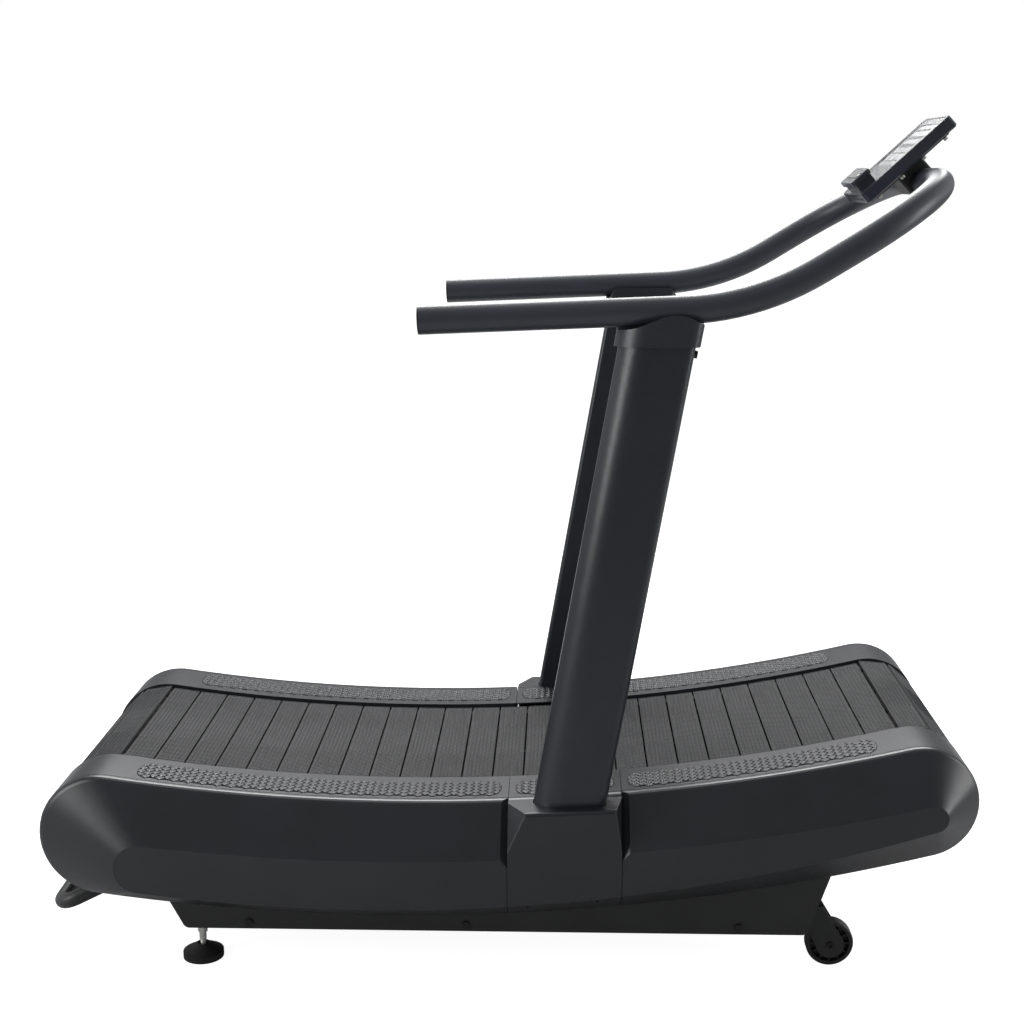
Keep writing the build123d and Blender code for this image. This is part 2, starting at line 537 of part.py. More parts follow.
def panel_end(seam_x, way, sink=0.0):
    """What the inward turn of a panel's end beside the pedestal removes.

    way is +1 for the panel ahead of the pedestal and -1 for the one behind it."""
    drop, out = RIM["top"] - PLATEAU["top"], PLATEAU_Y - RIM_Y
    down = Vector(0, out, -drop).normalized()
    outward = Vector(0, drop, out).normalized()
    z_shift = between_rims(seam_x)
    start = Vector(seam_x + way * END_CHAMFER, PLATEAU_Y, PLATEAU["top"] + z_shift)
    end = Vector(seam_x, PLATEAU_Y, PLATEAU["top"] + z_shift) - outward * END_DEPTH
    normal = down.cross(end - start).normalized()
    if normal.dot(outward) < 0:
        normal = -normal
    reach = sorted((seam_x - way, seam_x + way * END_CHAMFER))
    return half_space(start - normal * sink, normal) & x_slab(*reach)


def between_rims(x):
    """How far the plateau's upper edge at X has climbed above its lowest point."""
    arc_x, arc_z, arc_r = long_arc(PLATEAU["front"], PLATEAU["rear"], PLATEAU["top"], 1)
    return arc_r - math.sqrt(arc_r ** 2 - (x - arc_x) ** 2)


def side_shell():
    """The whole left-hand cover in one piece, before it is split at the seams, and the hollow inside it."""
    outer = cover_body(RIM_INNER_Y, 0.0)
    inner = cover_body(RIM_INNER_Y - 2, SHELL)
    for seam_x, way in ((REAR_SEAM_X, -1), (FRONT_SEAM_X, 1)):
        outer -= panel_end(seam_x, way)
        inner -= panel_end(seam_x, way, SHELL)
    shell = outer - inner
    lip = slab(RIM, RIM_INNER_Y, RIM_INNER_Y + LIP_Y)
    shell += lip - slab(RIM, RIM_INNER_Y - 1, RIM_INNER_Y + LIP_Y + 1, -LIP_DEPTH)
    groove = slab(RIM, CREST_GROOVE_Y, CREST_GROOVE_Y + CREST_GROOVE, 1.0)
    shell -= groove - slab(RIM, CREST_GROOVE_Y - 1, CREST_GROOVE_Y + CREST_GROOVE + 1, -CREST_GROOVE)
    for x, y, z in ((RAIL_SLOT_X, RAIL_SLOT_Y, RAIL_SLOT_Z), (HANDLE_SLOT_X, HANDLE_SLOT_Y, HANDLE_SLOT_Z)):
        shell -= box_between(x, y, z)
    return shell, inner


def box_between(x, y, z):
    """A box from its low and high X, Y and Z."""
    middle = [sum(limits) / 2 for limits in (x, y, z)]
    return Pos(*middle) * Box(x[1] - x[0], y[1] - y[0], z[1] - z[0])


def x_slab(x_low, x_high):
    """Everything of the left-hand side between two X values."""
    return box_between((x_low, x_high), (180, 480), (-50, 650))


def covers():
    """Rear, centre and front covers of the left side."""
    shell, hollow = side_shell()
    rear = shell & x_slab(-1000, REAR_SEAM_X - SEAM / 2)
    front = shell & x_slab(FRONT_SEAM_X + SEAM / 2, 1000)
    middle = x_slab(REAR_SEAM_X + SEAM / 2, FRONT_SEAM_X - SEAM / 2)
    centre = (shell & middle) + pedestal()
    centre -= (hollow & middle)
    centre -= pedestal(SHELL + 1)
    centre -= leaning(upright_profile(1.0), 270, 420)
    for x, z in CLIP_HOLES:
        centre -= rod_y(x, z, CLIP_HOLE_R, RIM_Y, PLATEAU_Y)
    return rear, centre, front


def cover_screws():
    """Button-head screws under the covers, and one in the front of each upright below its collar."""
    arc_x, arc_z, arc_r = long_arc(RIM["front"], RIM["rear"], RIM["bottom"], -1)
    screws = []
    for x in COVER_SCREW_X:
        turn = math.asin((x - arc_x) / arc_r)
        reach = arc_r + SCREW_HEAD_TALL / 2 + 0.01
        place = Pos(arc_x + reach * math.sin(turn), COVER_SCREW_Y, arc_z - reach * math.cos(turn))
        screws.append(place * Rot(0, -math.degrees(turn), 0) * Cylinder(SCREW_HEAD_R, SCREW_HEAD_TALL))
    x = UPRIGHT_X_AT_FLOOR + UPRIGHT_SCREW_Z * math.tan(LEAN) + UPRIGHT_DEPTH
    off = UPRIGHT_SCREW_TALL / 2 + 0.01
    place = Pos(x + off * math.cos(LEAN), UPRIGHT_Y, UPRIGHT_SCREW_Z - off * math.sin(LEAN))
    head = Cylinder(UPRIGHT_SCREW_R, UPRIGHT_SCREW_TALL)
    screws.append(place * Rot(0, 90 + math.degrees(LEAN), 0) * head)
    return screws + [mirrored(screw) for screw in screws]


# ---- Console ----------------------------------------------------------------------------------------
CONSOLE = Plane(
    origin=(CONSOLE_MID[0], 0, CONSOLE_MID[1]), x_dir=(0, 1, 0),
    z_dir=(-math.sin(math.radians(CONSOLE_TILT)), 0, math.cos(math.radians(CONSOLE_TILT))))


def on_console(x, y, z):
    """A place on the console: x across it, y down its slope, z out of its face."""
    return CONSOLE.location * Pos(x, y, z)


def rounded_box(wide, long, tall, radius):
    """A box with rounded corners in plan, standing on its lower face."""
    return extrude(RectangleRounded(wide, long, radius), amount=tall)


def console_back_case():
    """The tray at the back of the console."""
    tall = CONSOLE_THICK - FACE_THICK
    tray = rounded_box(CONSOLE_WIDE, CONSOLE_LONG, tall, 8)
    tray = chamfer(tray.faces().sort_by(Axis.Z)[0].edges(), 3)
    tray -= Pos(0, 0, 3) * rounded_box(CONSOLE_WIDE - 6, CONSOLE_LONG - 6, tall, 6)
    return on_console(0, 0, -CONSOLE_THICK) * tray


def key_spots():
    """Places of the four keys along the pod."""
    return [((i - 1.5) * KEY_PITCH, POD_MID) for i in range(4)]


def console_face():
    """The front frame of the console, with its display opening and the key pod on its neck."""
    face = rounded_box(CONSOLE_WIDE, CONSOLE_LONG, FACE_THICK, 8)
    face -= Pos(0, -WINDOW_UP, 0) * rounded_box(WINDOW_WIDE, WINDOW_LONG, FACE_THICK, 4)
    neck = rounded_box(POD_WIDE - 8, POD_LONG - 8, POD_NECK, 4)
    head = Pos(0, 0, POD_NECK) * rounded_box(POD_WIDE, POD_LONG, POD_TALL - POD_NECK, 9)
    head = chamfer(head.faces().sort_by(Axis.Z)[-1].edges(), 1.5)
    face += Pos(0, POD_MID, FACE_THICK) * (neck + head)
    side = 2 * (KEY_R + KEY_GAP)
    for x, y in key_spots():
        pocket = rounded_box(side, side, KEY_TALL + 3, KEY_CORNER_R + KEY_GAP)
        face -= Pos(x, y, FACE_THICK + POD_TALL - KEY_TALL) * pocket
    return on_console(0, 0, -FACE_THICK) * face


def console_display():
    """The clear window over the display, set into the face."""
    pane = Pos(0, -WINDOW_UP, 0) * rounded_box(WINDOW_WIDE, WINDOW_LONG, FACE_THICK - 1, 4)
    return on_console(0, 0, -FACE_THICK) * pane


def console_key(x, y):
    """One push key."""
    low = POD_TALL - KEY_TALL + KEY_TRAVEL_GAP
    cap = Pos(x, y, low) * rounded_box(2 * KEY_R, 2 * KEY_R, KEY_TALL, KEY_CORNER_R)
    cap = chamfer(cap.faces().sort_by(Axis.Z)[-1].edges(), 0.8)
    return on_console(0, 0, 0) * cap


def console_bracket():
    """The plate on the console's back, and the block under it that clamps it to the crossbar."""
    wide, long, thick = BACK_PLATE
    plate = on_console(0, 0, -CONSOLE_THICK - thick) * rounded_box(wide, long, thick, 6)
    tilt = math.radians(CONSOLE_TILT)
    ahead, above = BAR_FRONT[0] - CONSOLE_MID[0], BAR_FRONT[1] - CONSOLE_MID[1]
    bar_below = ahead * math.sin(tilt) - above * math.cos(tilt)
    tall = bar_below - CONSOLE_THICK - thick
    block = on_console(0, 0, -CONSOLE_THICK - thick - tall) * rounded_box(CLAMP_WIDE, CLAMP_LONG, tall, 5)
    return plate + block - rod_y(*BAR_FRONT, TUBE_R, -CLAMP_WIDE, CLAMP_WIDE)


def console_screws():
    """Screws through the plate on the console's back, and two in the pod."""
    screws = []
    plate_face = -CONSOLE_THICK - BACK_PLATE[2]
    for x in PLATE_SCREW_X:
        for y in PLATE_SCREW_Y:
            place = on_console(x, y, plate_face - PLATE_SCREW_TALL / 2)
            screws.append(place * Cylinder(PLATE_SCREW_R, PLATE_SCREW_TALL))
    for x in POD_SCREW_X:
        place = on_console(x, POD_MID, POD_TALL + POD_SCREW_TALL / 2)
        screws.append(place * Cylinder(POD_SCREW_R, POD_SCREW_TALL))
    return screws


# ---- Ground contact ---------------------------------------------------------------------------------
def wheel():
    """One transport wheel: tread, thin web with ribs, and hub."""
    x, z = WHEEL_X, WHEEL_R
    mid = (WHEEL_IN_Y + WHEEL_OUT_Y) / 2
    body = rod_y(x, z, WHEEL_R, WHEEL_IN_Y, WHEEL_OUT_Y)
    body = fillet(body.edges().filter_by(GeomType.CIRCLE), 4)
    for low, high in ((WHEEL_IN_Y - 1, mid - 3), (mid + 3, WHEEL_OUT_Y + 1)):
        body -= rod_y(x, z, WHEEL_POCKET_R, low, high) - rod_y(x, z, WHEEL_HUB_R, low, high)
    rib_long = WHEEL_POCKET_R - WHEEL_HUB_R + 2
    rib = Pos((WHEEL_POCKET_R + WHEEL_HUB_R) / 2, 0, 0) * Box(rib_long, WHEEL_OUT_Y - WHEEL_IN_Y - 5, 3)
    for i in range(WHEEL_RIBS):
        body += Pos(x, mid, z) * Rot(0, 360 * i / WHEEL_RIBS, 0) * rib
    return body - rod_y(x, z, WHEEL_AXLE_R + RUN_FIT, WHEEL_IN_Y - 1, WHEEL_OUT_Y + 1)


def wheel_fork():
    """Two ears that hold a transport wheel in front of the front base tube."""
    face = BASE_TUBE_X[-1] + BASE_TUBE_LONG / 2
    low, high = WHEEL_IN_Y - EAR_GAP - EAR_T, WHEEL_OUT_Y + EAR_GAP + EAR_T
    low_z, high_z = BASE_TUBE_LOW + 2, BASE_TUBE_LOW + BASE_TUBE_TALL - 2
    root = Polyline((face, low_z), (face, high_z), (face + high_z - low_z - 2, high_z), close=True)
    ear = make_hull([Pos(WHEEL_X, WHEEL_R) * Circle(EAR_R).edge(), *root.edges()])
    fork = Pos(face + EAR_T / 2, (low + high) / 2, (low_z + high_z) / 2) * Box(EAR_T, high - low, 34)
    for y in (low, high - EAR_T):
        fork += along_y(ear, y, y + EAR_T)
    return fork - rod_y(WHEEL_X, WHEEL_R, WHEEL_AXLE_R, low - 1, high + 1)


def wheel_axle():
    """The bolt that a transport wheel turns on."""
    low, high = WHEEL_IN_Y - EAR_GAP - EAR_T, WHEEL_OUT_Y + EAR_GAP + EAR_T
    bolt = rod_y(WHEEL_X, WHEEL_R, WHEEL_AXLE_R, low, high)
    for y_low, y_high in ((high, high + 4), (low - 6, low)):
        bolt += rod_y(WHEEL_X, WHEEL_R, AXLE_HEAD_R, y_low, y_high)
    return bolt - rod_y(WHEEL_X, WHEEL_R, 3, high + 1, high + 5)


def rear_handle():
    """The bent tube under the rear end that the machine is lifted by, fixed to both side plates."""
    side = [(x, y, z) for x, y, z in HANDLE]
    points = side + [(x, -y, z) for x, y, z in reversed(side)]
    return bent_tube(points, HANDLE_RADII + HANDLE_RADII[::-1], HANDLE_R, HANDLE_WALL)


def hex_nut(z):
    """One hexagon nut of a levelling foot, standing on its lower face."""
    return Pos(FOOT_X, FOOT_Y, z) * extrude(RegularPolygon(NUT_R, 6), amount=NUT_TALL)


def foot_stud():
    """The threaded stud of a levelling foot, with a ball end in its pad and an adjusting nut."""
    stud = Pos(FOOT_X, FOOT_Y, (BALL_Z + STUD_TOP) / 2) * Cylinder(STUD_R, STUD_TOP - BALL_Z)
    collar_ring = Pos(FOOT_X, FOOT_Y, STUD_NUT_Z - STUD_RING / 2) * Cylinder(STUD_R + 2, STUD_RING)
    return stud + Pos(FOOT_X, FOOT_Y, BALL_Z) * Sphere(BALL_R) + collar_ring + hex_nut(STUD_NUT_Z)


def foot_pad():
    """The rubber pad of a levelling foot, which swivels on the ball."""
    profile = make_face([
        Polyline((0, 0), (PAD_R, 0), (PAD_R, PAD_RIM)),
        ThreePointArc((PAD_R, PAD_RIM), (27, 19), (PAD_MOUTH_R + 3, PAD_TALL)),
        Polyline((PAD_MOUTH_R + 3, PAD_TALL), (0, PAD_TALL), (0, 0)),
    ])
    pad = Pos(FOOT_X, FOOT_Y, 0) * revolve(Plane.XZ * profile, axis=Axis.Z)
    pad -= Pos(FOOT_X, FOOT_Y, BALL_Z) * Sphere(BALL_R + 0.1)
    return pad - Pos(FOOT_X, FOOT_Y, BALL_Z + 10) * Cylinder(PAD_MOUTH_R, 20)


def foot_socket():
    """The threaded boss and lock nut under the rear base tube."""
    boss_low = SOCKET_NUT_Z + NUT_TALL
    boss = Cylinder(SOCKET_BOSS_R, BASE_TUBE_LOW - boss_low, align=(Align.CENTER, Align.CENTER, Align.MIN))
    boss = Pos(FOOT_X, FOOT_Y, boss_low) * boss
    return boss + hex_nut(SOCKET_NUT_Z) - Pos(FOOT_X, FOOT_Y, BASE_TUBE_LOW) * Cylinder(STUD_R + RUN_FIT, 80)


# ---- Every sub-part by name -------------------------------------------------------------------------
def pair(nodes, name, piece):
    """Adds a left piece and its mirror image on the right."""
    nodes[name + "_left"] = [piece]
    nodes[name + "_right"] = [mirrored(piece)]


def both(piece):
    """A piece and its mirror image, for one node."""
    return [piece, mirrored(piece)]


def all_nodes():
    """Every node: name, list of its solids."""
    nodes = {}
    pair(nodes, "side_plate", side_plate())
    pair(nodes, "base_rail", base_rail())
    nodes["cross_tubes"] = cross_tubes()
    rear, centre, front = covers()
    pair(nodes, "rear_cover", rear)
    pair(nodes, "centre_cover", centre)
    pair(nodes, "front_cover", front)
    nodes["cover_screws"] = cover_screws()
    nodes["frame_bolts"] = frame_bolts()
    pair(nodes, "upright", upright())
    nodes["upright_brackets"] = both(upright_bracket())
    pair(nodes, "collar", collar())
    nodes["handlebar"] = [handlebar()]
    nodes["handlebar_end_caps"] = both(end_cap())
    nodes["console_bracket"] = [console_bracket()]
    nodes["console_back_case"] = [console_back_case()]
    nodes["console_face"] = [console_face()]
    nodes["console_display"] = [console_display()]
    nodes["console_screws"] = console_screws()
    for i, (x, y) in enumerate(key_spots()):
        nodes[f"console_key_{i + 1}"] = [console_key(x, y)]
    for name, drum in (("front", FRONT_DRUM), ("rear", REAR_DRUM)):
        nodes[name + "_shaft"] = [shaft(drum)]
        nodes[name + "_pulleys"] = both(pulley(drum))
    pad, bar = slat_pad(), slat_bar()
    for name, places in belt_runs().items():
        nodes[name + "_run_pads"] = [place * pad for place in places]
        nodes[name + "_run_bars"] = [place * bar for place in places]
    nodes["carrier_belts"] = carrier_belts()
    nodes["shaft_bearings"] = both(flange_bearing(FRONT_DRUM)) + both(flange_bearing(REAR_DRUM))
    for i, (x, z) in enumerate(roller_spots()):
        nodes[f"support_rollers_{i + 1}"] = roller_pair(x, z)
    nodes["roller_axles"] = [rod_y(x, z, AXLE_R, -SIDE_PLATE_Y, SIDE_PLATE_Y) for x, z in roller_spots()]
    pair(nodes, "wheel", wheel())
    nodes["wheel_forks"] = both(wheel_fork())
    nodes["wheel_axles"] = both(wheel_axle())
    nodes["rear_handle"] = [rear_handle()]
    pair(nodes, "foot_stud", foot_stud())
    pair(nodes, "foot_pad", foot_pad())
    nodes["foot_sockets"] = both(foot_socket())
    return nodes


os.makedirs("parts", exist_ok=True)
for name, pieces in all_nodes().items():
    solids = [solid for piece in pieces for solid in piece.solids()]
    shape = solids[0] if len(solids) == 1 else Compound(children=solids)
    export_step(shape, f"parts/{name}.step")
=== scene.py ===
import json
import math

import bmesh
import bpy
from mathutils import Matrix, Vector


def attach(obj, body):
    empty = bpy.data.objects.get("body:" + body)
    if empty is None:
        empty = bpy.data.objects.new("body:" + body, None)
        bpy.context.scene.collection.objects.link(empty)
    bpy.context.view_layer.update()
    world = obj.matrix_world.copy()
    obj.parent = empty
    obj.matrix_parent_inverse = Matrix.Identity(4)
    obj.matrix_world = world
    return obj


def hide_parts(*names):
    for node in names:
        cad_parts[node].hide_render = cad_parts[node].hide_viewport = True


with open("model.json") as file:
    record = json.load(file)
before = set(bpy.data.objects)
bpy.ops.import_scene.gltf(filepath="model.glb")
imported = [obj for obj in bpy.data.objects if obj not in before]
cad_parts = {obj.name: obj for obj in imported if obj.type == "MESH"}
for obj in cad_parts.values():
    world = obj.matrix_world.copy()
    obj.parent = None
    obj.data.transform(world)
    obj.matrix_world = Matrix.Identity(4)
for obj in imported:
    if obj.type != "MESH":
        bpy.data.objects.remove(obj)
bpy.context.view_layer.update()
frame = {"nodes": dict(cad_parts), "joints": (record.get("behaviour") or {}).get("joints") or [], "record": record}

MM = 0.001

# ---- Camera: where the photograph was taken from, in metres and degrees -------------------------------
CAMERA_AT = (0.104, -3.1877, 1.5213)
CAMERA_YAW, CAMERA_PITCH, CAMERA_ROLL = -1.765, 11.83, -0.1
CAMERA_LENS, CAMERA_SENSOR = 56.51, 36       # in millimetres

# ---- Light: brightness of the room by direction, and soft boxes (place, target, size, brightness) -----
ROOM_BACK, ROOM_FRONT, ROOM_SIDES, ROOM_TOP = 0.36, 0.17, 0.9, 0.25
FLOOR_HALF, FLOOR_GREY, FLOOR_SEEN = 60, 0.5, 0.93       # metres, reflectance, brightness to the camera
SOFT_BOXES = (
    ("back_top", (0.0, 2.6, 3.1), (0.0, 0.0, 0.6), (4.2, 1.5), 9.5),
    ("overhead", (-0.2, 0.6, 3.4), (0.0, 0.0, 0.4), (3.0, 1.6), 1.2),
    ("left_side", (-3.1, -1.9, 1.8), (0.0, 0.0, 0.5), (1.2, 2.2), 6.0),
    ("right_side", (3.4, -0.5, 1.4), (0.2, 0.0, 0.6), (1.0, 2.0), 4.5),
)

# ---- Belt: the sizes that the frame's joints don't hold -----------------------------------------------
PITCH_R = 96.8 * MM            # of the belt round the drums
LARGEST_DRUM = 1.0           # metres; the top and return runs curve on larger arcs
SLATS = {"top": 25, "front": 5, "return": 26, "rear": 5}
PAD_LONG, PAD_WIDE = 57.8 * MM, 432 * MM
PAD_TOP, PAD_BOTTOM, PAD_EASE = 7.2 * MM, -1.0 * MM, 0.9 * MM
TREAD_DEEP, TREAD_SUNK = 1.2 * MM, 0.05 * MM
TICK_COLUMNS, TICK_ROWS = 7, 52
TICK_LONG, TICK_WIDE, TICK_SLOPE, TICK_ANGLE = 6.0 * MM, 3.2 * MM, 0.5 * MM, math.radians(28)
TICK_MIDDLE = 78 * MM        # half-width of the middle zone, where the ticks lean the other way
END_BAR, END_BAR_WIDE, END_BAR_LONG = 5 * MM, 2 * MM, PAD_LONG - 2 * MM
TICK_FIELD_LONG, TICK_FIELD_WIDE = PAD_LONG - 5 * MM, PAD_WIDE - 4 * END_BAR

# ---- Rail tops: raised fields of interlocking studs, with a pit at each end of every stud -------------
GRIP_FIELDS = ((-0.706, -0.006), (0.020, 0.208), (0.234, 0.703))      # rear, centre and front covers
GRIP_Y, GRIP_TALL, GRIP_SUNK = (0.246, 0.322), 1.6 * MM, -0.3 * MM
STUD_PITCH, STUD_HALF, ROW_PITCH = 27.4 * MM, 8.6 * MM, 7.9 * MM
# PIT_SHADE_EDGE is the share of the grip's height below which a face takes the painted pit shade.
PIT_LONG, PIT_WIDE, PIT_SHADE_EDGE = 3.6 * MM, 4.2 * MM, 0.45
PIT_DEPTH, PIT_STEEP = 0.95, 1.6      # share of the grip's height, and how fast the walls fall
END_ROUND = 0.6                       # how far the ends of a field are rounded
PROBE_FROM, FLAT_ENOUGH = 1.0, 0.8    # where a probe ray starts, and the least upward part of a normal
SEAM_HEIGHT = 0.36                    # stands in for the rail top where a probe ray finds none
GRIP_STEP_X, GRIP_STEP_Y = STUD_PITCH / 20, ROW_PITCH / 7

# ---- Console: the place and size of its face ----------------------------------------------------------
CONSOLE_MID, CONSOLE_TILT = (0.7434, 1.5565), math.radians(42.7)
CONSOLE_WIDE, CONSOLE_LONG, CONSOLE_THICK = 200 * MM, 214 * MM, 23.5 * MM
RIM_WIDE, RIM_TALL, RIM_EASE, RIM_INSET, RIM_SHORT = 4 * MM, 0.8 * MM, 0.5 * MM, 3 * MM, 10 * MM
FACE_SCREW_R, FACE_SCREW_TALL = 3.2 * MM, 1.0 * MM
FACE_SCREW_X, FACE_SCREW_Y = 91 * MM, (-96 * MM, -27 * MM, 46 * MM)
VENT_COUNT, VENT_PITCH = 15, 12 * MM
VENT_WIDE, VENT_LONG, VENT_TALL, VENT_SLOPE = 6 * MM, 7 * MM, 0.3 * MM, 0.1 * MM
MARKS_MIDDLE, MARKS_SUNK, MARKS_WIDE, MARK_ROW_PITCH = -30 * MM, -1 * MM, 126 * MM, 21 * MM
MARK_ROWS = ((1, 120, 5), (4, 24, 9), (4, 24, 9), (6, 14, 4), (1, 120, 3))     # count, width, height in mm
MARK_TALL, MARK_SLOPE = 0.25 * MM, 0.1 * MM

# ---- Levelling feet: threads on the studs -------------------------------------------------------------
FOOT_X, FOOT_Y = -0.603, 0.25
THREAD_R, THREAD_CREST, THREAD_PITCH, THREAD_SIDES = 4.9 * MM, 0.55 * MM, 1.5 * MM, 24
THREAD_SPANS = ((28.5, 36), (61, 66.9))      # heights in mm, above the pad and between the two nuts


# ---- Node materials -----------------------------------------------------------------------------------
NOISE_LOW, NOISE_HIGH = 0.3, 0.7             # the part of a noise texture's range that is used
DRIFT_DETAIL, GRAIN_DETAIL = 4.0, 2.0
WEAR_SHARE = 0.2                             # how coarse the roughness drift is beside the grain
BUMP_STRENGTH = 0.6
GREEN_SHARE = 0.25                           # the share of a blue tint that green takes


def new_material(name):
    """An empty node material, with its node tree and shader."""
    mat = bpy.data.materials.new(name)
    mat.use_nodes = True
    tree = mat.node_tree
    tree.nodes.clear()
    out = tree.nodes.new("ShaderNodeOutputMaterial")
    shader = tree.nodes.new("ShaderNodeBsdfPrincipled")
    tree.links.new(shader.outputs["BSDF"], out.inputs["Surface"])
    return mat, tree, shader


def noise(tree, coords, scale, detail=3.0):
    """A noise texture over the given coordinates."""
    node = tree.nodes.new("ShaderNodeTexNoise")
    node.inputs["Scale"].default_value = scale
    node.inputs["Detail"].default_value = detail
    tree.links.new(coords, node.inputs["Vector"])
    return node.outputs["Fac"]


def spread(tree, value, low, high, start=NOISE_LOW, end=NOISE_HIGH):
    """Turns a texture value into a number between low and high."""
    node = tree.nodes.new("ShaderNodeMapRange")
    for key, number in (("From Min", start), ("From Max", end), ("To Min", low), ("To Max", high)):
        node.inputs[key].default_value = number
    tree.links.new(value, node.inputs["Value"])
    return node.outputs["Result"]


def shades(tree, value, dark, light):
    """Turns a texture value into a colour between dark and light."""
    ramp = tree.nodes.new("ShaderNodeValToRGB")
    ramp.color_ramp.elements[0].position = NOISE_LOW
    ramp.color_ramp.elements[1].position = NOISE_HIGH
    ramp.color_ramp.elements[0].color = (*dark, 1)
    ramp.color_ramp.elements[1].color = (*light, 1)
    tree.links.new(value, ramp.inputs["Fac"])
    return ramp.outputs["Color"]


def bump(tree, shader, height, distance):
    """Adds a bump from a height to a shader."""
    node = tree.nodes.new("ShaderNodeBump")
    node.inputs["Strength"].default_value = BUMP_STRENGTH
    node.inputs["Distance"].default_value = distance
    tree.links.new(height, node.inputs["Height"])
    tree.links.new(node.outputs["Normal"], shader.inputs["Normal"])


def surface(name, dark, light, rough, grain, depth, patch=9.0, metallic=0.0, specular=0.5, stretch=None,
            coat=0.0):
    """A finish with colour drift, roughness drift and a fine grain.

    rough is (low, high), grain is grains per metre, depth is the height of the grain in metres and patch is
    the number of colour patches per metre."""
    mat, tree, shader = new_material(name)
    coords = tree.nodes.new("ShaderNodeTexCoord").outputs["Object"]
    fine = coords
    if stretch:
        mapping = tree.nodes.new("ShaderNodeMapping")
        mapping.inputs["Scale"].default_value = stretch
        tree.links.new(coords, mapping.inputs["Vector"])
        fine = mapping.outputs["Vector"]
    drift = noise(tree, coords, patch, DRIFT_DETAIL)
    tree.links.new(shades(tree, drift, dark, light), shader.inputs["Base Color"])
    speck = noise(tree, fine, grain, GRAIN_DETAIL)
    wear = noise(tree, fine, grain * WEAR_SHARE, DRIFT_DETAIL)
    tree.links.new(spread(tree, wear, *rough), shader.inputs["Roughness"])
    bump(tree, shader, speck, depth)
    shader.inputs["Metallic"].default_value = metallic
    shader.inputs["Specular IOR Level"].default_value = specular
    shader.inputs["Coat Weight"].default_value = coat
    return mat


def glass(name):
    """The tinted window over the display."""
    mat, tree, shader = new_material(name)
    coords = tree.nodes.new("ShaderNodeTexCoord").outputs["Object"]
    tree.links.new(spread(tree, noise(tree, coords, 40.0, 5.0), 0.24, 0.30), shader.inputs["Roughness"])
    tree.links.new(shades(tree, noise(tree, coords, 6.0), (0.02, 0.024, 0.028), (0.03, 0.034, 0.04)),
                   shader.inputs["Base Color"])
    shader.inputs["Specular IOR Level"].default_value = 0.6
    return mat


def grey(v, blue=1.0):
    """A dark neutral colour, slightly blue where blue is over 1."""
    return (v, v * (1 + (blue - 1) * GREEN_SHARE), v * blue)


MATERIALS = {
    "cover_plastic": surface("satin_cover", grey(0.010, 1.3), grey(0.014, 1.35),
                             (0.28, 0.35), 900, 0.00002),
    # Near black and almost without reflection: painted shade in the grip's pits, a darker copy of the cover
    # plastic.
    "painted_pit_shade": surface("painted_pit_shade", grey(0.002), grey(0.004), (0.6, 0.7), 900, 0.0001, specular=0.05),
    "collar_plastic": surface("satin_collar", grey(0.016, 1.5), grey(0.021, 1.55),
                              (0.30, 0.36), 900, 0.00003),
    "frame_paint": surface("frame_powder", grey(0.014, 1.1), grey(0.019, 1.1),
                           (0.40, 0.48), 700, 0.00006),
    "upright_paint": surface("upright_powder", grey(0.013, 1.5), grey(0.017, 1.55),
                             (0.28, 0.34), 800, 0.00004),
    "handlebar_paint": surface("handlebar_powder", grey(0.030, 1.45), grey(0.036, 1.5),
                               (0.35, 0.41), 800, 0.00004),
    "console_plastic": surface("console_shell", grey(0.022, 1.6), grey(0.028, 1.65),
                               (0.18, 0.27), 1400, 0.00003, coat=0.3),
    "end_cap_plastic": surface("cap_plastic", grey(0.008), grey(0.012), (0.3, 0.4), 1200, 0.0001),
    "slat_rubber": surface("slat_rubber", grey(0.016, 1.05), grey(0.022, 1.05),
                           (0.62, 0.72), 1300, 0.0002, 14.0, specular=0.3),
    # A lighter copy of the slat rubber: painted highlight on the raised ticks and end bars.
    "tick_rubber_highlight": surface("tick_rubber_highlight", grey(0.036, 1.1), grey(0.046, 1.1),
                           (0.5, 0.62), 1300, 0.0001, 14.0),
    "slat_aluminium": surface("slat_bar", grey(0.5), grey(0.6),
                              (0.3, 0.45), 300, 0.0001, 12, 1.0, 0.5, (1, 0.05, 1)),
    "carrier_rubber": surface("carrier_rubber", grey(0.012), grey(0.02), (0.6, 0.75), 500, 0.0004, 20.0),
    "shaft_steel": surface("ground_steel", grey(0.45), grey(0.55),
                           (0.18, 0.32), 500, 0.00005, 20, 1.0, 0.5, (1, 0.1, 1)),
    "pulley_aluminium": surface("turned_aluminium", grey(0.5), grey(0.62),
                                (0.25, 0.4), 500, 0.00005, 12, 1.0),
    "bearing_iron": surface("cast_housing", grey(0.05), grey(0.09), (0.5, 0.7), 350, 0.0005, 25, 0.6),
    "zinc_fastener": surface("zinc_plate", (0.62, 0.61, 0.57),
                             (0.75, 0.74, 0.70), (0.22, 0.38), 700, 0.00008, 60, 0.55),
    "black_fastener": surface("black_oxide", grey(0.012), grey(0.02), (0.3, 0.42), 700, 0.0001, 60, 0.3),
    "display_glass": glass("display_window"),
    "console_rim": surface("console_rim", grey(0.02, 1.1), grey(0.03, 1.1),
                           (0.16, 0.24), 1400, 0.00004, coat=0.4),
    "display_marks": surface("display_marks", grey(0.03), grey(0.05), (0.16, 0.22), 900, 0.00003, 60),
    "key_rubber": surface("key_rubber", grey(0.10), grey(0.12), (0.5, 0.6), 1500, 0.0001, 60),
    "wheel_plastic": surface("wheel_plastic", grey(0.010), grey(0.015), (0.4, 0.5), 900, 0.0002, 30),
    "foot_rubber": surface("foot_rubber", grey(0.005), grey(0.008), (0.55, 0.7), 700, 0.0003, 40),
}


def dress_nodes():
    """Gives every CAD node the material of its slot."""
    for entry in frame["record"]["subparts"]:
        mesh = frame["nodes"][entry["node"]].data
        mesh.materials.clear()
        mesh.materials.append(MATERIALS[entry["material_slot"]])


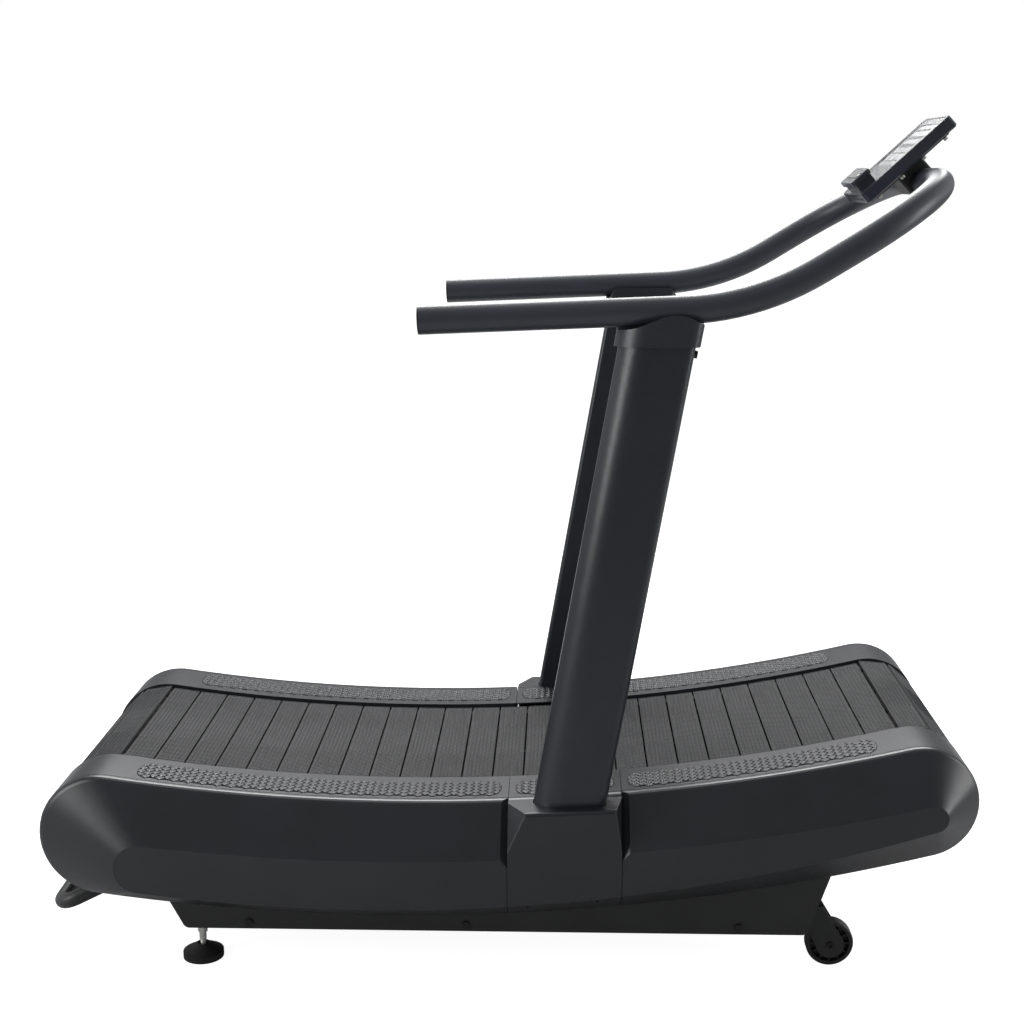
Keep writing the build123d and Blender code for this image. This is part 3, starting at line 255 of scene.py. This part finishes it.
# ---- Mesh helpers -------------------------------------------------------------------------------------
def piece(name, verts, faces, material, body, smooth=False, second=None, uses_second=()):
    """A mesh piece that rides on a body; the faces marked in uses_second take the second material."""
    mesh = bpy.data.meshes.new(name)
    mesh.from_pydata(verts, [], faces)
    mesh.materials.append(material)
    if second:
        mesh.materials.append(second)
        mesh.polygons.foreach_set("material_index", [int(mark) for mark in uses_second])
    mesh.update()
    if smooth:
        mesh.shade_smooth()
    obj = bpy.data.objects.new(name, mesh)
    bpy.context.scene.collection.objects.link(obj)
    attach(obj, body)
    return obj


def repeated(template, places):
    """One list of vertices and faces with a copy of a template at every place."""
    verts, faces = template
    all_verts, all_faces = [], []
    for place in places:
        first = len(all_verts)
        all_verts.extend(place @ Vector(v) for v in verts)
        all_faces.extend([i + first for i in face] for face in faces)
    return all_verts, all_faces


def from_bmesh(bm):
    """A template from a bmesh."""
    bm.verts.index_update()
    verts = [v.co.copy() for v in bm.verts]
    faces = [[v.index for v in f.verts] for f in bm.faces]
    bm.free()
    return verts, faces


def joined(*templates):
    """Several templates as one."""
    all_verts, all_faces = [], []
    for verts, faces in templates:
        first = len(all_verts)
        all_verts.extend(verts)
        all_faces.extend([i + first for i in face] for face in faces)
    return all_verts, all_faces


def eased_box(size, middle, ease):
    """A box with rounded edges."""
    bm = bmesh.new()
    bmesh.ops.create_cube(bm, size=1.0, matrix=Matrix.Translation(middle) @ Matrix.Diagonal((*size, 1)))
    bmesh.ops.bevel(bm, geom=bm.edges[:], offset=ease, segments=2, affect="EDGES", profile=0.5)
    return from_bmesh(bm)


def low_block(u, v, w, length, width, tall, slope):
    """A raised mark with sloping sides, open underneath."""
    a, b = length / 2, width / 2
    verts = [(u + su * a, v + sv * b, w) for su, sv in ((-1, -1), (1, -1), (1, 1), (-1, 1))]
    a, b = a - slope, b - slope
    verts += [(u + su * a, v + sv * b, w + tall) for su, sv in ((-1, -1), (1, -1), (1, 1), (-1, 1))]
    faces = [(4, 5, 6, 7)] + [(i, (i + 1) % 4, (i + 1) % 4 + 4, i + 4) for i in range(4)]
    return [Vector(p) for p in verts], faces


# ---- Belt ---------------------------------------------------------------------------------------------
def joint_place(name):
    """X, Z of a joint's axis."""
    x, _, z = next(j for j in frame["joints"] if j["name"] == name)["pos_m"]
    return x, z


def towards(a, b, reach):
    """The point that far from a in the direction of b."""
    dx, dz = b[0] - a[0], b[1] - a[1]
    far = math.hypot(dx, dz)
    return a[0] + reach * dx / far, a[1] + reach * dz / far


def run_places():
    """The place of every slat of each run: u along the belt, v across it, w out of its face."""
    top, low = joint_place("belt_travel"), joint_place("return_travel")
    front, rear = joint_place("front_drum_turn"), joint_place("rear_drum_turn")
    ends = {
        "top": (top, towards(rear, top, PITCH_R), towards(front, top, PITCH_R), -1),
        "front": (front, towards(front, top, PITCH_R), towards(front, low, -PITCH_R), 1),
        "return": (low, towards(front, low, -PITCH_R), towards(rear, low, -PITCH_R), 1),
        "rear": (rear, towards(rear, low, -PITCH_R), towards(rear, top, PITCH_R), 1),
    }
    places = {}
    for name, (centre, start, end, outward) in ends.items():
        radius = math.dist(centre, start)
        first = math.atan2(start[1] - centre[1], start[0] - centre[0])
        turn = math.atan2(end[1] - centre[1], end[0] - centre[0]) - first
        if radius < LARGEST_DRUM:
            turn = turn % math.tau - math.tau
        places[name] = []
        for i in range(SLATS[name]):
            angle = first + turn * (i + 0.5) / SLATS[name]
            at = Vector((centre[0] + radius * math.cos(angle), 0, centre[1] + radius * math.sin(angle)))
            tilt = math.atan2(outward * math.cos(angle), outward * math.sin(angle))
            places[name].append(Matrix.Translation(at) @ Matrix.Rotation(tilt, 4, "Y"))
    return places


def slat_tread():
    """One slat's rubber, and how many of its faces come before the raised marks.

    An eased pad lies under a field of slanting ticks, with a plain bar near each end. The ticks and bars take a
    lighter copy of the rubber, a painted highlight."""
    floor = PAD_TOP - TREAD_DEEP
    tall = floor - PAD_BOTTOM
    parts = [eased_box((PAD_LONG, PAD_WIDE, tall), (0, 0, PAD_BOTTOM + tall / 2), PAD_EASE)]
    base_faces = len(parts[0][1])
    low = floor - TREAD_SUNK
    for side in (-1, 1):
        v = side * (PAD_WIDE / 2 - END_BAR)
        parts.append(low_block(0, v, low, END_BAR_LONG, END_BAR_WIDE, TREAD_DEEP, TICK_SLOPE))
    tick = low_block(0, 0, low, TICK_LONG, TICK_WIDE, TREAD_DEEP, TICK_SLOPE)
    places = []
    for i in range(TICK_COLUMNS):
        u = (i - (TICK_COLUMNS - 1) / 2) * TICK_FIELD_LONG / TICK_COLUMNS
        for j in range(TICK_ROWS - i % 2):
            v = (j - (TICK_ROWS - 1 - i % 2) / 2) * TICK_FIELD_WIDE / TICK_ROWS
            lean = TICK_ANGLE if abs(v) > TICK_MIDDLE else -TICK_ANGLE
            places.append(Matrix.Translation((u, v, 0)) @ Matrix.Rotation(lean, 4, "Z"))
    return joined(*parts, repeated(tick, places)), base_faces


def belt():
    """The rubber of all four runs of the belt, with a painted highlight on the raised marks."""
    template, base_faces = slat_tread()
    # The faces after the pad are the ticks and end bars, which take the lighter rubber as a painted highlight.
    marks = [i >= base_faces for i in range(len(template[1]))]
    bodies = {"top": "top_run", "front": "front_drum", "return": "return_run", "rear": "rear_drum"}
    for run, places in run_places().items():
        verts, faces = repeated(template, places)
        treads = piece(f"{run}_run_treads", verts, faces, MATERIALS["slat_rubber"], bodies[run],
                       second=MATERIALS["tick_rubber_highlight"], uses_second=marks * len(places))
        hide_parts(f"{run}_run_pads")


# ---- Rail grip ----------------------------------------------------------------------------------------
def cover_height(x, side):
    """Height of the rail top at X, or None over a seam."""
    suffix = "left" if side > 0 else "right"
    for part in ("rear_cover_", "centre_cover_", "front_cover_"):
        above = Vector((x, side * sum(GRIP_Y) / 2, PROBE_FROM))
        hit, at, normal, _ = frame["nodes"][part + suffix].ray_cast(above, Vector((0, 0, -1)))
        if hit and normal.z > FLAT_ENOUGH:
            return at.z
    return None


def grip_relief(x, off):
    """Height of the grip at X and at a distance from its inner edge: studs with a pit at each end."""
    row = min(int(off / ROW_PITCH), int((GRIP_Y[1] - GRIP_Y[0]) / ROW_PITCH) - 1)
    deepest = 0.0
    for k in (row - 1, row, row + 1):
        dy = (off - (k + 0.5) * ROW_PITCH) / PIT_WIDE
        phase = (x - k % 2 * STUD_PITCH / 2) % STUD_PITCH
        for pit in (STUD_HALF, STUD_PITCH - STUD_HALF):
            near = math.hypot((phase - pit) / PIT_LONG, dy)
            deepest = max(deepest, 1 - near ** 3)
    return GRIP_TALL * (1 - PIT_DEPTH * min(1.0, deepest * PIT_STEEP))


def in_grip(x, off, ends, wide):
    """Whether a place lies inside a grip field, whose edges bulge round every stud of the outer rows."""
    last = int(wide / ROW_PITCH) - 1
    for row, gap in ((0, off), (last, wide - off)):
        phase = (x - row % 2 * STUD_PITCH / 2 + STUD_PITCH / 2) % STUD_PITCH - STUD_PITCH / 2
        bulge = math.sqrt(max(0.0, 1 - (phase / STUD_HALF) ** 2)) if abs(phase) < STUD_HALF else 0.0
        if gap < ROW_PITCH / 2 * (1 - bulge):
            return False
    inset = END_ROUND * (wide / 2 - math.sqrt(max(0.0, (wide / 2) ** 2 - (off - wide / 2) ** 2)))
    return ends[0] + inset < x < ends[1] - inset


def grip_field(ends, side):
    """One grip field as a relief whose edges sink into the rail top, and which of its faces take the painted pit
    shade.
    """
    wide = GRIP_Y[1] - GRIP_Y[0]
    columns = round((ends[1] - ends[0]) / GRIP_STEP_X) + 2
    rows = round(wide / GRIP_STEP_Y) + 2
    verts, heights = [], []
    for i in range(columns + 1):
        x = ends[0] + (i - 1) * GRIP_STEP_X
        top = cover_height(x, side)
        for j in range(rows + 1):
            off = (j - 1) * GRIP_STEP_Y
            inside = top is not None and in_grip(x, off, ends, wide)
            rise = grip_relief(x, off) if inside else GRIP_SUNK
            heights.append(rise)
            verts.append(Vector((x, side * (GRIP_Y[0] + off), (top or SEAM_HEIGHT) + rise)))
    faces, pit_shade_faces = [], []
    for i in range(columns):
        for j in range(rows):
            near, far = i * (rows + 1) + j, (i + 1) * (rows + 1) + j
            corners = [near, far, far + 1, near + 1]
            levels = [heights[c] for c in corners]
            if max(levels) > 0:
                faces.append(corners if side > 0 else corners[::-1])
                # Faces low in a pit take the painted pit shade.
                pit_shade_faces.append(sum(levels) < 4 * PIT_SHADE_EDGE * GRIP_TALL)
    used = sorted({c for face in faces for c in face})
    place = {c: i for i, c in enumerate(used)}
    return [verts[c] for c in used], [[place[c] for c in face] for face in faces], pit_shade_faces


def rail_grips():
    """The grip fields of both rail tops, with painted shade on the faces low in the pits."""
    for side, name in ((1, "left"), (-1, "right")):
        fields = [grip_field(ends, side) for ends in GRIP_FIELDS]
        verts, faces = joined(*[field[:2] for field in fields])
        pit_shade_faces = [mark for field in fields for mark in field[2]]
        grip = piece(f"rail_grip_{name}", verts, faces, MATERIALS["cover_plastic"], "frame", smooth=True,
                     second=MATERIALS["painted_pit_shade"], uses_second=pit_shade_faces)


# ---- Console detail -----------------------------------------------------------------------------------
def on_console(x, y, z):
    """A place on the console: x across it, y down its slope, z out of its face."""
    out = Vector((-math.sin(CONSOLE_TILT), 0, math.cos(CONSOLE_TILT)))
    across = Vector((0, 1, 0))
    turn = Matrix((across, out.cross(across), out)).transposed().to_4x4()
    return Matrix.Translation((CONSOLE_MID[0], 0, CONSOLE_MID[1])) @ turn @ Matrix.Translation((x, y, z))


def disc(radius, tall, sides=16):
    """A short cylinder standing on its open end."""
    turns = [math.tau * i / sides for i in range(sides)]
    ring = [(radius * math.cos(turn), radius * math.sin(turn)) for turn in turns]
    verts = [Vector((x, y, 0)) for x, y in ring] + [Vector((x, y, tall)) for x, y in ring]
    faces = [(i, (i + 1) % sides, (i + 1) % sides + sides, i + sides) for i in range(sides)]
    return verts, faces + [tuple(range(sides, 2 * sides))]


def console_rim():
    """The raised edge round the console's face."""
    bars = []
    for side in (-1, 1):
        x, y = side * (CONSOLE_WIDE / 2 - RIM_INSET), side * (CONSOLE_LONG / 2 - RIM_INSET)
        bars.append(low_block(x, 0, 0, RIM_WIDE, CONSOLE_LONG - RIM_SHORT, RIM_TALL, RIM_EASE))
        bars.append(low_block(0, y, 0, CONSOLE_WIDE - RIM_SHORT, RIM_WIDE, RIM_TALL, RIM_EASE))
    verts, faces = repeated(joined(*bars), [on_console(0, 0, 0)])
    rim = piece("console_rim", verts, faces, MATERIALS["console_rim"], "frame")


def console_face_screws():
    """Dark screw heads down both sides of the face."""
    places = [on_console(side * FACE_SCREW_X, y, 0) for side in (-1, 1) for y in FACE_SCREW_Y]
    verts, faces = repeated(disc(FACE_SCREW_R, FACE_SCREW_TALL), places)
    heads = piece("console_face_screws", verts, faces, MATERIALS["black_fastener"], "frame")


def vent_slot_shade():
    """Dark strips painted as the shade inside the vent slots in the console's lower end; no slot is cut."""
    down = Matrix.Rotation(-math.pi / 2, 4, "X")
    slots = []
    for i in range(VENT_COUNT):
        x = (i - (VENT_COUNT - 1) / 2) * VENT_PITCH
        slots.append(on_console(x, CONSOLE_LONG / 2, -CONSOLE_THICK / 2) @ down)
    verts, faces = repeated(low_block(0, 0, 0, VENT_WIDE, VENT_LONG, VENT_TALL, VENT_SLOPE), slots)
    # The strips take the dark end-cap plastic as painted shade in the slots.
    vent_shade = piece("vent_slot_shade", verts, faces, MATERIALS["end_cap_plastic"], "frame")


def display_marks():
    """Plain bars on the window: one long scale and rows of short fields under it."""
    marks = []
    for row, (count, wide, tall) in enumerate(MARK_ROWS):
        y = MARKS_MIDDLE + (row - len(MARK_ROWS) // 2) * MARK_ROW_PITCH
        for i in range(count):
            x = (i - (count - 1) / 2) * MARKS_WIDE / count
            marks.append(low_block(x, y, 0, wide * MM, tall * MM, MARK_TALL, MARK_SLOPE))
    verts, faces = repeated(joined(*marks), [on_console(0, 0, MARKS_SUNK)])
    shown = piece("display_marks", verts, faces, MATERIALS["display_marks"], "frame")


# ---- Levelling feet -----------------------------------------------------------------------------------
def thread_crest(x, y, z):
    """One turn of thread, as a ring with a sharp crest."""
    verts, sides = [], THREAD_SIDES
    for dz, r in ((0, THREAD_R), (THREAD_PITCH / 2, THREAD_R + THREAD_CREST), (THREAD_PITCH, THREAD_R)):
        for k in range(sides):
            turn = math.tau * k / sides
            verts.append(Vector((x + r * math.cos(turn), y + r * math.sin(turn), z + dz)))
    faces = []
    for low in (0, sides):
        for k in range(sides):
            after = (k + 1) % sides
            faces.append((low + k, low + after, low + sides + after, low + sides + k))
    return verts, faces


def foot_threads():
    """Thread crests on the studs, above the pad and between the two nuts."""
    for side, name in ((1, "left"), (-1, "right")):
        rings = []
        for low, high in THREAD_SPANS:
            for i in range(int((high - low) * MM / THREAD_PITCH)):
                rings.append(thread_crest(FOOT_X, side * FOOT_Y, low * MM + i * THREAD_PITCH))
        verts, faces = joined(*rings)
        thread = piece(f"foot_thread_{name}", verts, faces, MATERIALS["zinc_fastener"], f"foot_{name}")


# ---- Stage --------------------------------------------------------------------------------------------
def floor():
    """A plain pale floor: near white to the camera, and a mid grey to the machine that stands on it."""
    mesh = bpy.data.meshes.new("floor")
    corners = [(x * FLOOR_HALF, y * FLOOR_HALF, 0) for x, y in ((-1, -1), (1, -1), (1, 1), (-1, 1))]
    mesh.from_pydata(corners, [], [(0, 1, 2, 3)])
    mat, tree, shader = new_material("pale_floor")
    shader.inputs["Base Color"].default_value = (FLOOR_GREY, FLOOR_GREY, FLOOR_GREY, 1)
    shader.inputs["Roughness"].default_value = 1.0
    shader.inputs["Specular IOR Level"].default_value = 0.0
    shader.inputs["Emission Color"].default_value = (1, 1, 1, 1)
    path = tree.nodes.new("ShaderNodeLightPath")
    seen = spread(tree, path.outputs["Is Camera Ray"], 0.0, FLOOR_SEEN, 0.0, 1.0)
    tree.links.new(seen, shader.inputs["Emission Strength"])
    mesh.materials.append(mat)
    obj = bpy.data.objects.new("floor", mesh)
    bpy.context.scene.collection.objects.link(obj)


def area_light(name, at, target, size, power):
    """A soft rectangular light that faces a point."""
    data = bpy.data.lights.new(name, "AREA")
    data.shape = "RECTANGLE"
    data.size, data.size_y = size
    data.energy = power
    obj = bpy.data.objects.new(name, data)
    obj.location = at
    obj.rotation_euler = (Vector(target) - Vector(at)).to_track_quat("-Z", "Y").to_euler()
    bpy.context.scene.collection.objects.link(obj)


def room_glow(tree):
    """Brightness of the room by direction: dim in front, more behind, most to the sides and above."""
    coords = tree.nodes.new("ShaderNodeTexCoord")
    split = tree.nodes.new("ShaderNodeSeparateXYZ")
    tree.links.new(coords.outputs["Generated"], split.inputs["Vector"])
    sideways = tree.nodes.new("ShaderNodeMath")
    sideways.operation = "ABSOLUTE"
    tree.links.new(split.outputs["X"], sideways.inputs[0])
    total = spread(tree, split.outputs["Y"], ROOM_FRONT, ROOM_BACK, -0.1, 0.75)
    parts = ((sideways.outputs["Value"], ROOM_SIDES, 0.5), (split.outputs["Z"], ROOM_TOP, 0.3))
    for value, high, start in parts:
        add = tree.nodes.new("ShaderNodeMath")
        add.operation = "ADD"
        tree.links.new(total, add.inputs[0])
        tree.links.new(spread(tree, value, 0.0, high, start, 1.0), add.inputs[1])
        total = add.outputs["Value"]
    return total


def lights():
    """A white backdrop to the camera, a room with its own glow for the machine, and soft boxes."""
    world = bpy.data.worlds.new("studio")
    bpy.context.scene.world = world
    world.use_nodes = True
    tree = world.node_tree
    tree.nodes.clear()
    out = tree.nodes.new("ShaderNodeOutputWorld")
    mix = tree.nodes.new("ShaderNodeMixShader")
    path = tree.nodes.new("ShaderNodeLightPath")
    plain = tree.nodes.new("ShaderNodeBackground")
    plain.inputs["Color"].default_value = (1, 1, 1, 1)
    plain.inputs["Strength"].default_value = 1.0
    room = tree.nodes.new("ShaderNodeBackground")
    room.inputs["Color"].default_value = (0.97, 0.98, 1.0, 1)
    tree.links.new(room_glow(tree), room.inputs["Strength"])
    tree.links.new(path.outputs["Is Camera Ray"], mix.inputs["Fac"])
    tree.links.new(room.outputs["Background"], mix.inputs[1])
    tree.links.new(plain.outputs["Background"], mix.inputs[2])
    tree.links.new(mix.outputs["Shader"], out.inputs["Surface"])
    for name, at, target, size, glow in SOFT_BOXES:
        area_light(name, at, target, size, glow * math.pi * size[0] * size[1])


def camera():
    """The camera that the photograph was taken with."""
    yaw, pitch, roll = (math.radians(a) for a in (CAMERA_YAW, CAMERA_PITCH, CAMERA_ROLL))
    ahead = Vector((math.sin(yaw) * math.cos(pitch), math.cos(yaw) * math.cos(pitch), -math.sin(pitch)))
    right = Vector((math.cos(yaw), -math.sin(yaw), 0))
    level_right, level_up = right, right.cross(ahead)
    right = level_right * math.cos(roll) + level_up * math.sin(roll)
    up = level_up * math.cos(roll) - level_right * math.sin(roll)
    data = bpy.data.cameras.new("camera")
    data.lens = CAMERA_LENS
    data.sensor_width = CAMERA_SENSOR
    obj = bpy.data.objects.new("camera", data)
    bpy.context.scene.collection.objects.link(obj)
    turn = Matrix((right, up, -ahead)).transposed().to_4x4()
    obj.matrix_world = Matrix.Translation(CAMERA_AT) @ turn
    bpy.context.scene.camera = obj


dress_nodes()
belt()
rail_grips()
console_rim()
console_face_screws()
vent_slot_shade()
display_marks()
foot_threads()
floor()
lights()
camera()
bpy.context.scene.view_settings.view_transform = "Standard"
